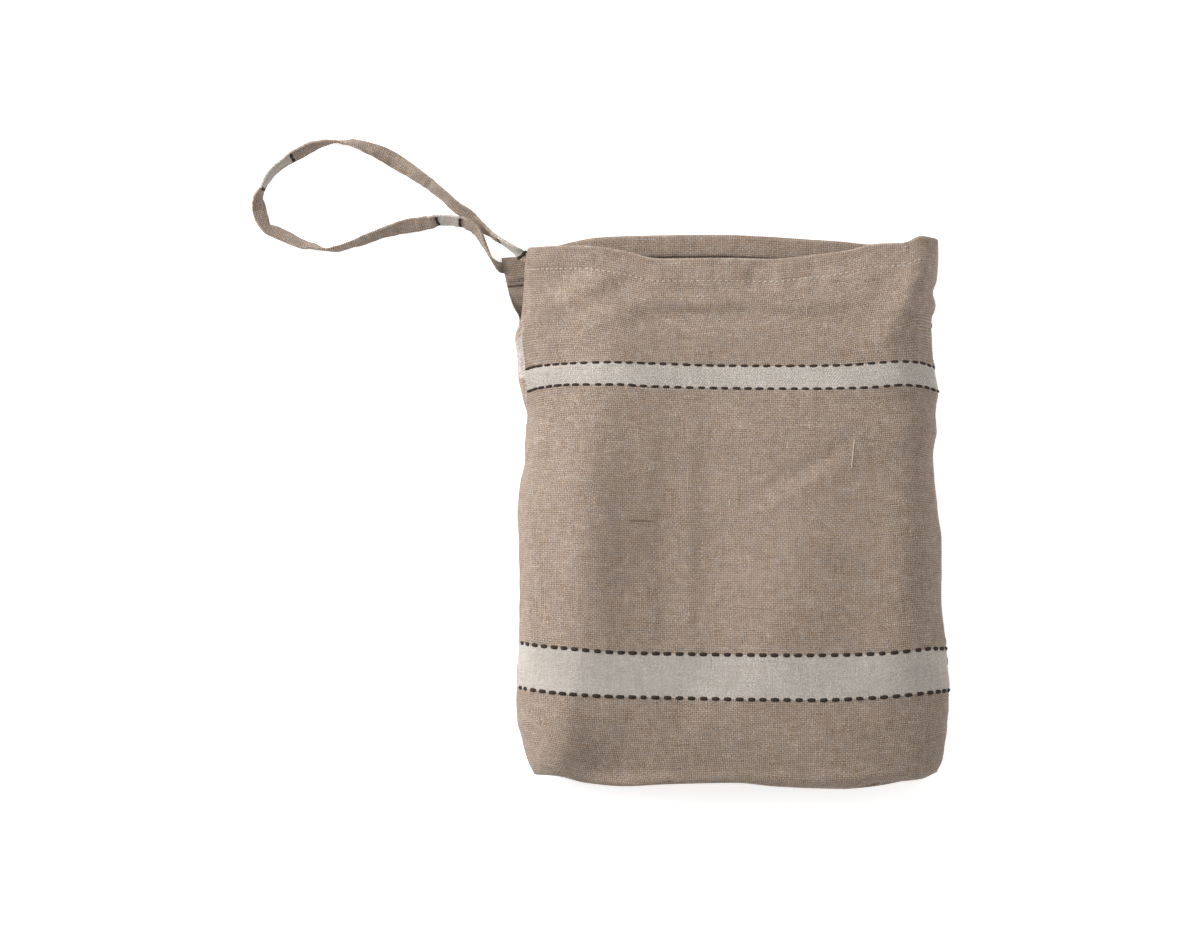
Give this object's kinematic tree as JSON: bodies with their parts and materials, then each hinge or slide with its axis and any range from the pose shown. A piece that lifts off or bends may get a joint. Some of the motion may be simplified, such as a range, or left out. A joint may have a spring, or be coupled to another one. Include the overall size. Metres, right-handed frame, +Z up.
{
  "type": "linen drawstring pouch",
  "caption": "Soft linen drawstring pouch with a boxed base, a stitched casing round its mouth, woven cross bands and a flat tape loop, lying on its back.",
  "frame": {"origin": "centre of the pouch's box on the surface that its back lies on", "axes": "+Z up out of the front panel, +Y towards the mouth, +X to the right of the front"},
  "size_m": [0.3211, 0.2989, 0.0433],
  "materials": {
    "linen": "plain-woven melange linen, matt, with two woven cream bands",
    "tape_linen": "folded and stitched linen tape, matt"
  },
  "bodies": {
    "root": {"pouch_cloth": "linen", "drawstring_tape": "tape_linen"}
  },
  "joints": []
}
